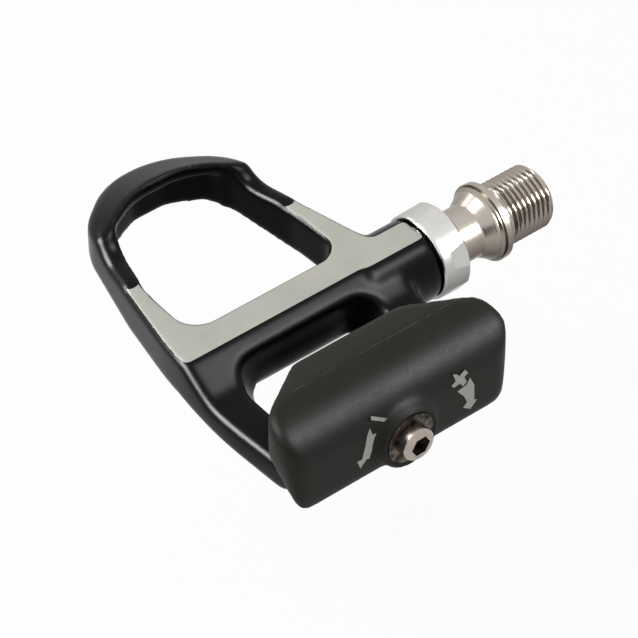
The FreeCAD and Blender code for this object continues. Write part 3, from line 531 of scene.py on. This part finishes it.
def make_axle():
    """Turned axle: socket, thread, flange, dome, neck and journals, ring by ring from the thread end."""
    angles = [math.tau * step / AROUND for step in range(AROUND)]
    rings = [[(THREAD_LENGTH - SOCKET_DEPTH, AXIS)] * AROUND]
    for along in (THREAD_LENGTH - SOCKET_DEPTH, THREAD_LENGTH - SOCKET_CHAMFER):
        rings.append([(along, hexagon_radius(angle)) for angle in angles])
    rings.append([(THREAD_LENGTH, hexagon_radius(angle) + SOCKET_CHAMFER) for angle in angles])
    count = round(THREAD_LENGTH / THREAD_PITCH * TURN_STEPS)
    for step in range(count, -1, -1):
        along = THREAD_LENGTH * step / count
        rings.append([(along, thread_radius(along, angle)) for angle in angles])
    rings += [[tuple(place)] * AROUND for place in axle_section()]
    vertices = []
    for ring in rings:
        for (along, radius), angle in zip(ring, angles):
            vertices.append((along * MM, radius * math.cos(angle) * MM, radius * math.sin(angle) * MM))
    faces = []
    for ring in range(len(rings) - 1):
        for step in range(AROUND):
            beside = (step + 1) % AROUND
            faces.append((ring * AROUND + step, ring * AROUND + beside,
                          (ring + 1) * AROUND + beside, (ring + 1) * AROUND + step))
    piece = make_piece("axle_turned", vertices, faces, LOOKS["axle_steel"], "axle")
    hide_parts("axle")
    smooth_by_angle(piece, SHARP_ANGLE)
    return piece


def smooth_by_angle(piece, degrees):
    """Smooth shading with sharp edges kept where faces meet at more than an angle; normals face outward."""
    mesh = piece.data
    work = bmesh.new()
    work.from_mesh(mesh)
    bmesh.ops.remove_doubles(work, verts=work.verts, dist=JOIN_REACH * MM)
    bmesh.ops.recalc_face_normals(work, faces=work.faces)
    for face in work.faces:
        face.smooth = True
    for edge in work.edges:
        edge.smooth = edge.calc_face_angle(0.0) < math.radians(degrees)
    work.to_mesh(mesh)
    work.free()


# Printed marks on the back of the jaw, in millimetres

INK_LIFT = 0.01
INK_THICK = 0.03


def make_mark(name, outline):
    """A printed mark: a thin layer, its outline given across from the jaw's middle and up."""
    near = JAW_BACK - INK_LIFT * MM
    far = near - INK_THICK * MM
    count = len(outline)
    vertices = [(MIDDLE + across * MM, near, up * MM) for across, up in outline]
    vertices += [(MIDDLE + across * MM, far, up * MM) for across, up in outline]
    faces = [tuple(range(count)), tuple(range(2 * count - 1, count - 1, -1))]
    for step in range(count):
        beside = (step + 1) % count
        faces.append((step, beside, count + beside, count + step))
    piece = make_piece(name, vertices, faces, INK, "clip")
    work = bmesh.new()
    work.from_mesh(piece.data)
    bmesh.ops.recalc_face_normals(work, faces=work.faces)
    bmesh.ops.triangulate(work, faces=work.faces)
    work.to_mesh(piece.data)
    work.free()


def make_marks():
    """Minus and plus signs with the two arrows that show which way the bolt turns."""
    make_mark("mark_minus", [(-8.6, 10.1), (-4.25, 6.85), (-4.3, 5.9), (-8.55, 9.0)])
    make_mark("mark_arrow_minus", [
        (-8.9, 7.0), (-8.15, 4.9), (-5.9, 4.3), (-7.0, 3.0), (-7.9, 1.4), (-8.5, 0.4), (-8.9, -1.05),
        (-9.6, -0.75), (-11.2, -2.35), (-12.0, -0.1), (-10.75, -0.2), (-10.0, 2.7), (-9.5, 5.35),
    ])
    make_mark("mark_plus", [
        (12.2, 8.7), (13.2, 8.2), (13.9, 7.3), (15.3, 8.2), (16.2, 6.9), (15.2, 6.3), (15.9, 4.6),
        (15.0, 4.0), (14.1, 5.2), (12.5, 5.0), (11.9, 5.9), (13.0, 6.4),
    ])
    make_mark("mark_arrow_plus", [
        (16.75, 5.3), (16.0, 3.9), (13.5, 3.4), (14.4, 2.2), (15.2, 1.2), (16.1, -0.9), (15.1, -1.9),
        (17.0, -3.3), (18.75, -1.7), (18.0, -1.5), (17.9, 2.6),
    ])


axle = make_axle()
make_marks()


# Floor, light and camera

FLOOR_DROP = 34 * MM
FLOOR_HALF = 2.0
FLOOR_GLOW = 0.95
FILL_LIGHT = 0.35
WHITE = (1, 1, 1, 1)
AIM = Vector((-46.621, -2.017, 0.362)) * MM


def seen_directly(tree):
    """One for rays from the camera and for reflected and transmitted ones, and none for the light's own."""
    path = tree.nodes.new("ShaderNodeLightPath")
    seen = path.outputs["Is Camera Ray"]
    for kind in ("Is Glossy Ray", "Is Transmission Ray"):
        join = tree.nodes.new("ShaderNodeMath")
        join.operation = "MAXIMUM"
        tree.links.new(seen, join.inputs[0])
        tree.links.new(path.outputs[kind], join.inputs[1])
        seen = join.outputs[0]
    return seen


def make_floor():
    """A wide pale floor below the pedal that shows white to the camera and keeps a soft shadow."""
    mesh = bpy.data.meshes.new("floor")
    level = cad_low.z - FLOOR_DROP
    corners = [(-1, -1), (1, -1), (1, 1), (-1, 1)]
    places = [(across * FLOOR_HALF, along * FLOOR_HALF, level) for across, along in corners]
    mesh.from_pydata(places, [], [(0, 1, 2, 3)])
    floor = bpy.data.objects.new("floor", mesh)
    bpy.context.collection.objects.link(floor)
    surface = Surface("floor_look", srgb(246, 246, 246), 0.8)
    tree = surface.tree
    glow = tree.nodes.new("ShaderNodeEmission")
    glow.inputs["Color"].default_value = WHITE
    glow.inputs["Strength"].default_value = 1.0
    mix = tree.nodes.new("ShaderNodeMixShader")
    share = surface.maths("MULTIPLY", seen_directly(tree), FLOOR_GLOW)
    tree.links.new(share, mix.inputs[0])
    tree.links.new(surface.shader.outputs[0], mix.inputs[1])
    tree.links.new(glow.outputs[0], mix.inputs[2])
    tree.links.new(mix.outputs[0], tree.nodes["Material Output"].inputs["Surface"])
    mesh.materials.append(surface.material)


def make_world():
    """White to the camera and to reflections, and a gentle fill light otherwise."""
    world = bpy.data.worlds.new("studio")
    world.use_nodes = True
    tree = world.node_tree
    fill = tree.nodes["Background"]
    fill.inputs["Color"].default_value = WHITE
    fill.inputs["Strength"].default_value = FILL_LIGHT
    shown = tree.nodes.new("ShaderNodeBackground")
    shown.inputs["Color"].default_value = WHITE
    shown.inputs["Strength"].default_value = 1.0
    mix = tree.nodes.new("ShaderNodeMixShader")
    tree.links.new(seen_directly(tree), mix.inputs[0])
    tree.links.new(fill.outputs[0], mix.inputs[1])
    tree.links.new(shown.outputs[0], mix.inputs[2])
    tree.links.new(mix.outputs[0], tree.nodes["World Output"].inputs["Surface"])
    bpy.context.scene.world = world


def direction(azimuth, elevation):
    """Unit vector from the object towards a place given in degrees; azimuth 0 is behind the pedal."""
    turn, rise = math.radians(azimuth), math.radians(elevation)
    return Vector((math.sin(turn) * math.cos(rise), -math.cos(turn) * math.cos(rise), math.sin(rise)))


def make_lamp(name, azimuth, elevation, distance, width, height, brightness, sheen_of=()):
    """A soft rectangular lamp that faces the pedal; given pieces, it only puts a sheen on those."""
    lamp = bpy.data.lights.new(name, "AREA")
    lamp.shape = "RECTANGLE"
    lamp.size = width
    lamp.size_y = height
    lamp.energy = brightness * math.pi * width * height
    holder = bpy.data.objects.new(name, lamp)
    bpy.context.collection.objects.link(holder)
    away = direction(azimuth, elevation)
    holder.location = AIM + away * distance
    holder.rotation_euler = (-away).to_track_quat("-Z", "Y").to_euler()
    if sheen_of:
        holder.visible_diffuse = False
        lit = bpy.data.collections.new(name + "_lit")
        for piece in sheen_of:
            lit.objects.link(piece)
        holder.light_linking.receiver_collection = lit


def make_camera():
    """The photograph's viewpoint, as fitted: sensor and lens in millimetres."""
    azimuth, elevation, roll = -39.021, 41.961, math.radians(-0.357)
    distance, sensor, lens = 815.98 * MM, 36, 228.87
    nearest, furthest = 0.01, 20
    back = direction(azimuth, elevation)
    level = Vector((math.cos(math.radians(azimuth)), math.sin(math.radians(azimuth)), 0))
    upright = back.cross(level)
    right = level * math.cos(roll) + upright * math.sin(roll)
    up = upright * math.cos(roll) - level * math.sin(roll)
    camera = bpy.data.cameras.new("camera")
    camera.sensor_width = sensor
    camera.lens = lens
    camera.clip_start = nearest
    camera.clip_end = furthest
    holder = bpy.data.objects.new("camera", camera)
    bpy.context.collection.objects.link(holder)
    turn = Matrix((right, up, back)).transposed().to_4x4()
    holder.matrix_world = Matrix.Translation(AIM + back * distance) @ turn
    bpy.context.scene.camera = holder


make_floor()
make_world()
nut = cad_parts["lock_nut"]
make_lamp("key", azimuth=-125, elevation=48, distance=0.7,
          width=0.2, height=0.2, brightness=20)
make_lamp("left", azimuth=-108, elevation=38, distance=0.7,
          width=0.66, height=0.42, brightness=66, sheen_of=[casting])
make_lamp("high", azimuth=44, elevation=54, distance=0.8,
          width=0.2, height=0.16, brightness=30, sheen_of=[casting])
make_lamp("rear", azimuth=34, elevation=32, distance=0.8,
          width=0.2, height=0.3, brightness=44, sheen_of=[axle, nut])
make_lamp("roll", azimuth=34, elevation=34, distance=0.8,
          width=0.35, height=0.35, brightness=44, sheen_of=[jaw])
make_lamp("corner", azimuth=-108, elevation=38, distance=0.7,
          width=0.3, height=0.2, brightness=60, sheen_of=[jaw])
make_lamp("front", azimuth=-165, elevation=30, distance=0.8,
          width=0.3, height=0.08, brightness=8)
make_camera()
bpy.context.scene.view_settings.view_transform = "Standard"
